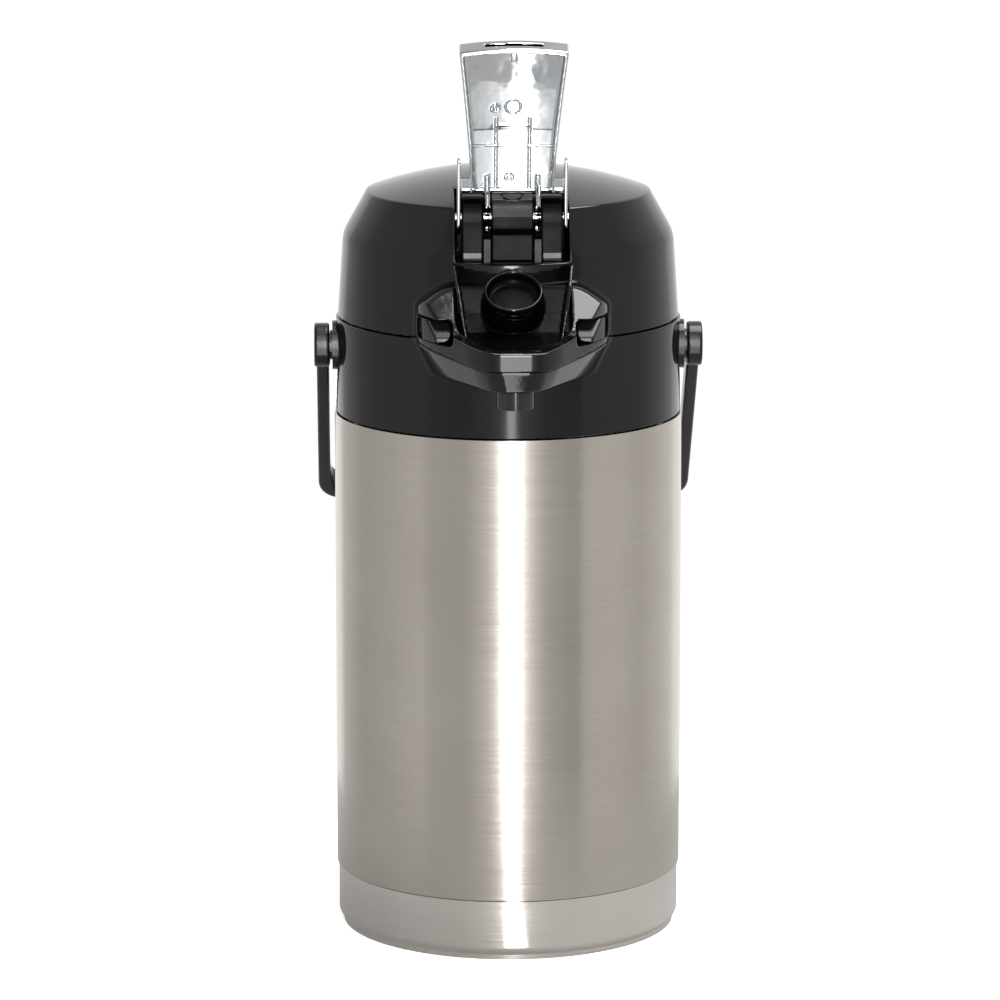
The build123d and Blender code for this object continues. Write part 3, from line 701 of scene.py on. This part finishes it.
def tray_floor(x, s):
    """Height of the tray's floor: thick at the root, dished towards the tip."""
    root = 0.19 * np.maximum(45 - s, 0)
    dish = 2.2 * (np.maximum(s - 55, 0) / 35) ** 2 + 0.9 * (x / 20) ** 2
    return -3.7 + root + dish


def lever_tip(x):
    """How far the curved tip reaches from the pin."""
    return 92.5 - 1.9 * (x / 25) ** 2


def lever(x, s, u):
    """The chromed lever: tray, ribs, fork and cheeks, in its own axes.

    s runs from the pin towards the tip, and u towards the ribbed underside.
    """
    wide = np.abs(x)
    from_pin = np.hypot(s, u)
    side = wide - half_width(s)
    tip = lever_tip(x)
    outline = both(1.0, side * 0.99, 15 - s)
    blade = both(1.0, outline, s - tip, slab(u, TRAY_LOW, TRAY_HIGH))
    floor = tray_floor(x, s)
    recess = both(1.2, side + 1.7, s - tip + 2.2, 17.2 - s, floor - u)
    body = cut(blade, recess, 0.6)

    def raised(shape, rise):
        """A detail that stands up from the tray's floor by rise."""
        return both(0.35, shape, u - floor - rise, TRAY_LOW + 0.6 - u)

    details = [
        raised(both(0.4, slab(wide, 7.2, 8.2), slab(s, 16, 52)), 1.1),
        raised(both(0.4, slab(s, 37.8, 38.9), wide - 19), 1.3),
        raised(both(0.4, slab(s, 47.8, 48.8), wide - 7.6), 1.1),
        raised(slab(np.hypot(x + 8.2, s - 57.5), 1.0, 2.1), 1.4),
        raised(slab(np.hypot(x, s - 58), 3.3, 3.9), 0.4),
        raised(both(0.4, wide - 1.1, slab(s, 83.5, 91)), 1.6),
        raised(slab(np.hypot(x + 1.5, s - 22.5), 0.9, 2.1), 0.9),
    ]
    for detail in details:
        body = soft_min(body, detail, 0.4)
    groove = both(0.3, wide - 13.2, slab(u, -2.4, -0.4), 90.8 - s)
    body = cut(body, groove, 0.4)

    bar = both(0.7, slab(s, 14.6, 17.6), slab(u, TRAY_LOW, TRAY_HIGH), wide - 24.2)
    body = soft_min(body, bar, 0.6)

    edges = both(3.0, plane(s, u, (4, -13.5), (31, -4.5)), plane(s, u, (31, 1.0), (-2, 9.2)), -1 - s)
    leaf = soft_min(from_pin - 8.0, both(2.0, edges, s - 30.5), 2.0)
    ear = both(0.8, leaf, slab(wide, 23.8, 25.5))
    body = soft_min(body, ear, 0.8)

    fork = both(0.7, soft_min(cam(s, u), from_pin - 7.0, 0.8), slab(wide, 10.6, 12.6))
    body = soft_min(body, fork, 0.6)
    pin_way = soft_max(from_pin - PIN_HOLE_R, wide - 32, 0.2)
    return cut(body, pin_way, 0.25)


def shaded_ribs_and_groove(x, s, u):
    """The lower part of the two pushing ribs, and the inside of the groove in the tip, which take painted
    shade.
    """
    ribs = (np.abs(x) < 13.2) & (s * sin(LEAN) + u * cos(LEAN) < -7.5)
    groove = (np.abs(x) < 13.0) & (u > -2.5) & (u < -0.3) & (s > 90.5) & (s < lever_tip(x) - 0.25)
    return ribs | groove


lever_place = ((-26, -26, -24), (26, 93, 16), LEAN, (0, PIN_Y, PIN_Z))
# The ribs' lower part and the tip's groove take painted shade in place of chrome.
moulded("lever_body", "lever", lever, 0.5, "lever", "chrome_plate", ("cavity_black", shaded_ribs_and_groove), lever_place)


# ---- Pivot block between the fork ribs ----
def pivot(x, y, z):
    """A rounded black block with a sunk round mark on its top."""
    dy, dz = y - PIN_Y, z - PIN_Z
    sloped = dz + 0.22 * np.maximum(-dy, 0)
    head = both(4.0, slab(dy, -13.5, 13.5), slab(sloped, -3, 12.6))
    head = soft_max(head, np.hypot(dy, dz) - 16.5, 2.0)
    neck = both(0.6, slab(dy, -11, 13.4), slab(z, CHANNEL_FLOOR + 0.1, PIN_Z))
    body = both(0.7, soft_min(head, neck, 2.0), np.abs(x) - 9.6)
    mark = np.hypot(x, dy + 7.0)
    ring_cut = both(0.3, slab(mark, 4.4, 5.4), slab(sloped, 12.0, 30))
    body = cut(body, ring_cut, 0.3)
    pin_way = np.hypot(dy, dz) - PIN_HOLE_R
    return cut(body, pin_way, 0.3)


def below_pin(x, y, z):
    """The block's foot, down in the channel, which takes painted shade."""
    return z < PIN_Z + 2


# The block's foot down in the channel takes painted shade.
moulded("pivot_body", "pivot_block", pivot, 0.5, "lid", "black_matte", ("cavity_black", below_pin))


# ---- Latch ----
def latch(x, y, z):
    """Two buttons with round inner ends, on one bar behind the wings."""
    wide = np.abs(x)
    middle = (latch_low.z + latch_high.z) / 2
    half = (latch_high.z - latch_low.z) / 2
    inner = latch_high.x - NUB_WIDTH
    tongue = both(
        0.8,
        slab(z, latch_low.z, latch_high.z),
        slab(wide, inner, latch_high.x),
        slab(y, latch_low.y, -60),
    )
    rounded = np.hypot(np.minimum(wide - inner - half, 0), z - middle) - half
    tongue = soft_max(tongue, rounded, 0.5)
    sloped = plane(-y, z, (-latch_low.y, latch_low.z + 2.2), (-latch_low.y - 9, latch_high.z + 0.5))
    tongue = soft_max(tongue, sloped, 0.8)
    tongue = soft_max(tongue, chin_plan(x, y, 1.2), 0.8)
    bar = both(0.5, wide - latch_high.x, slab(y, -62, -58), slab(z, latch_low.z + 1, latch_high.z - 1))
    return soft_min(tongue, bar, 0.5)


moulded("latch_body", "latch", latch, 0.45, "latch", "black_satin")


# ---- Bail ----
ARM_IN, ARM_OUT = 85.0, 91.0
GRIP_IN, GRIP_OUT = 121.5, 130.0
BAIL_REACH = 126.0
BAIL_BACK = 91.5
bail_drop = (BAIL_REACH**2 - BAIL_BACK**2) ** 0.5


def bail(x, y, z):
    """The carrying bail: flat arms that widen at round hubs, and a thicker rounded grip."""
    dz = z - BAIL_Z
    along = (y * BAIL_BACK - dz * bail_drop) / BAIL_REACH
    across = (y * bail_drop + dz * BAIL_BACK) / BAIL_REACH
    wide = np.abs(x)
    from_pivot = np.hypot(along, across)
    outer = both(16.0, wide - ARM_OUT, along - GRIP_OUT)
    inner = both(12.0, wide - ARM_IN, along - GRIP_IN)
    strap = both(1.6, cut(outer, inner, 1.6), np.abs(across) - 5.5, -along)
    hub = both(1.2, from_pivot - 10.5, slab(wide, 84.8, 92.0))
    dish = soft_max(from_pivot - 7.2, 91.2 - wide, 0.4)
    hub = cut(hub, dish, 0.4)
    button = both(0.6, from_pivot - 5.2, slab(wide, 90.0, 91.9))
    body = soft_min(soft_min(strap, hub, 2.0), button, 0.4)
    pivot_way = soft_max(from_pivot - 4.56, slab(wide, 80, 90.4), 0.2)
    return cut(body, pivot_way, 0.3)


moulded("bail_body", "handle", bail, 0.8, "handle", "black_satin")


# ---- Nozzle ----
def nozzle(x, y, z):
    """The drip nozzle: a stepped sleeve with a rounded mouth."""
    r = np.hypot(x, y - NOZZLE_Y)
    sleeve = both(0.9, r - 8.75, slab(z, nozzle_low.z, 279.9))
    stem = both(0.3, r - 6.4, slab(z, 279, nozzle_high.z))
    bore = 4.2 - r
    pipe_way = soft_max(np.hypot(x, z - PIPE_Z) - 4.64, y - NOZZLE_Y, 0.2)
    return cut(soft_max(soft_min(sleeve, stem, 0.3), bore, 0.4), pipe_way, 0.2)


moulded("nozzle_body", "nozzle", nozzle, 0.4, "pot", "nozzle_gloss")


# ---- Pump bellows and its spring, which on the pot shorten as the plate goes down; here each gets a mesh of its own ----
BELLOWS_FOLDS = 3
FOLD_DEPTH = 4.4


def bellows(x, y, z):
    """Rolled folds between a flat ring and a flat top with the valve's hole."""
    r = np.hypot(x, y)
    fold = (bellows_high.z - bellows_low.z - 1) / BELLOWS_FOLDS
    turn = 2 * pi * (z - bellows_low.z - 1) / fold
    wave = bellows_high.x - 0.6 - FOLD_DEPTH - FOLD_DEPTH * np.cos(turn)
    steep = np.hypot(1, FOLD_DEPTH * 2 * pi / fold * np.sin(turn))
    folds = both(0.3, np.abs(r - wave) / steep - 0.5, slab(z, bellows_low.z + 0.7, bellows_high.z - 0.6))
    ring = both(0.3, slab(r, 40.2, bellows_high.x), slab(z, bellows_low.z, bellows_low.z + 1))
    top = both(0.3, slab(r, 3.2, 42.0), slab(z, bellows_high.z - 1, bellows_high.z))
    return soft_min(soft_min(folds, ring, 0.4), top, 0.4)


def coil_mesh(name, turns, wire):
    """A round wire wound in a helix between the CAD spring's ends."""
    radius = spring_high.x - wire
    start, rise = spring_low.z + wire, spring_high.z - spring_low.z - 2 * wire
    steps, sides = int(64 * turns), 12
    points, faces = [], []
    for step in range(steps + 1):
        turn = 2 * pi * turns * step / steps
        out = Vector((cos(turn), sin(turn), 0))
        along = Vector((-sin(turn) * radius, cos(turn) * radius, rise / (2 * pi * turns))).normalized()
        up = out.cross(along)
        middle = out * radius + Vector((0, 0, start + rise * step / steps))
        for side in range(sides):
            angle = 2 * pi * side / sides
            points.append((middle + (out * cos(angle) + up * sin(angle)) * wire) * MM)
    for step, side in product(range(steps), range(sides)):
        here, there = step * sides, (step + 1) * sides
        after = (side + 1) % sides
        faces.append((here + side, here + after, there + after, there + side))
    faces.append(tuple(reversed(range(sides))))
    faces.append(tuple(steps * sides + side for side in range(sides)))
    mesh = bpy.data.meshes.new(name)
    mesh.from_pydata(points, [], faces)
    mesh.update()
    mesh.shade_smooth()
    return mesh


folded = moulded("bellows_folds", "bellows", bellows, 0.8, "lid", "white_plastic")
coil = coil_mesh("spring_coil", turns=3.5, wire=1.1)
coiled = add_piece("spring_coil", coil, "lid", "screw_steel", "bellows_spring")
for soft in (folded, coiled):
    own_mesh(soft)


# ---- Studio, in metres ----
FLOOR_REACH = 0.3
BACKDROP = 1.05
TENT_TOP = 8.0
# Degrees round the pot from its front, and the tent's brightness there.
TENT = [
    (-180, 1.0),
    (-150, 1.0),
    (-145, 0.66),
    (-115, 0.48),
    (-88, 0.54),
    (-60, 0.64),
    (-57, 0.53),
    (-30, 0.48),
    (-14, 0.70),
    (-6, 1.2),
    (-2.6, 3.0),
    (-1.8, 8.0),
    (2.6, 8.0),
    (3.4, 3.0),
    (7, 1.2),
    (15, 0.78),
    (24, 0.52),
    (47, 0.40),
    (50, 0.62),
    (75, 0.63),
    (98, 0.56),
    (125, 0.72),
    (138, 0.8),
    (143, 1.0),
    (180, 1.0),
]


def studio_floor():
    """A round table of white paper, which reflections and bounced light see as grey, and which glows a
    little: painted light that washes out the pot's shadow on it.
    """
    turns = np.linspace(0, 2 * pi, 96, False)
    rim = [(FLOOR_REACH * cos(turn), FLOOR_REACH * sin(turn), 0) for turn in turns]
    mesh = bpy.data.meshes.new("studio_floor")
    mesh.from_pydata(rim, [], [tuple(range(len(rim)))])
    floor = bpy.data.objects.new("studio_floor", mesh)
    bpy.context.scene.collection.objects.link(floor)
    m = Material("floor_paper")
    paper = m.blend(m.noise(3, 4), (0.90, 0.90, 0.90), (0.93, 0.93, 0.93))
    seen = m.add("ShaderNodeLightPath").outputs["Is Camera Ray"]
    colour = m.mix(seen, (0.24, 0.24, 0.24), paper)
    # The emission is painted light: a glow that lifts the pot's shadow on the floor to white.
    m.set(Base_Color=colour, Emission_Color=colour, Roughness=0.8, Emission_Strength=0.6)
    mesh.materials.append(m.material)


def area_light(name, place, target, width, height, power):
    """A soft box that faces a point."""
    data = bpy.data.lights.new(name, "AREA")
    data.shape = "RECTANGLE"
    data.size, data.size_y = width, height
    data.energy = power
    light = bpy.data.objects.new(name, data)
    light.location = place
    light.rotation_euler = (Vector(target) - Vector(place)).to_track_quat("-Z", "Y").to_euler()
    bpy.context.scene.collection.objects.link(light)


def tent_ramp(tree):
    """A colour ramp that holds the tent's brightness all round, from -180 to 180 degrees."""
    ramp = tree.add("ShaderNodeValToRGB")
    elements = ramp.color_ramp.elements
    elements[0].position, elements[1].position = 0, 1
    for turn, level in TENT:
        if abs(turn) == 180:
            element = elements[0 if turn < 0 else len(elements) - 1]
        else:
            element = elements.new(0.5 + turn / 360)
        element.color = (*[level / TENT_TOP] * 3, 1)
    return ramp


def sky():
    """White to the camera; to all else a light tent, with one bright upright band in front."""
    world = bpy.data.worlds.new("studio")
    bpy.context.scene.world = world
    world.use_nodes = True
    tree = Tree(world.node_tree)
    split = tree.add("ShaderNodeSeparateXYZ")
    tree.feed(tree.add("ShaderNodeTexCoord").outputs["Generated"], split.inputs["Vector"])
    forward = tree.add("ShaderNodeMath", operation="MULTIPLY")
    tree.feed(split.outputs["Y"], forward.inputs[0])
    tree.feed(-1, forward.inputs[1])
    azimuth = tree.add("ShaderNodeMath", operation="ARCTAN2")
    tree.feed(split.outputs["X"], azimuth.inputs[0])
    tree.feed(forward.outputs["Value"], azimuth.inputs[1])
    ramp = tent_ramp(tree)
    tree.feed(tree.spread(azimuth.outputs["Value"], 0, 1, -pi, pi), ramp.inputs["Fac"])
    dimmer_above = tree.spread(split.outputs["Z"], 1.0, 0.4, 0.62, 0.92)
    tent = tree.mix(1.0, ramp.outputs["Color"], dimmer_above, "MULTIPLY")
    seen = tree.add("ShaderNodeLightPath").outputs["Is Camera Ray"]
    backdrop = (BACKDROP / TENT_TOP,) * 3
    background = tree.tree.nodes["Background"]
    tree.feed(tree.mix(seen, tent, backdrop), background.inputs["Color"])
    background.inputs["Strength"].default_value = TENT_TOP


def camera():
    """The camera of the picture: far away, a little above, and slightly to the left."""
    data = bpy.data.cameras.new("camera")
    data.lens = 198.1
    data.sensor_width = 36.0
    data.shift_x = -0.0081
    distance, height = 2.576, 0.725
    turn = radians(1.6)
    eye = Vector((-sin(turn) * distance, -cos(turn) * distance, height))
    tilt = radians(11.42)
    aim = Vector((sin(turn) * cos(tilt), cos(turn) * cos(tilt), -sin(tilt)))
    cam = bpy.data.objects.new("camera", data)
    cam.location = eye
    cam.rotation_euler = aim.to_track_quat("-Z", "Y").to_euler()
    bpy.context.scene.collection.objects.link(cam)
    bpy.context.scene.camera = cam


studio_floor()
sky()
# The last two face straight down and up, but for a hair that settles which way their sides lie.
area_light("front_strip", (0.05, -3.4, 0.9), (0, 0, 0.2), 0.4, 2.2, 30)
area_light("top_box", (0.77, 0.1, 2.4), (0.77, 0.1001, 0), 1.5, 1.5, 60)
area_light("floor_card", (0.003, -0.2, 0.001), (0.003, -0.1999, 1), 0.016, 0.2, 0.045)
camera()
bpy.context.scene.view_settings.view_transform = "Standard"
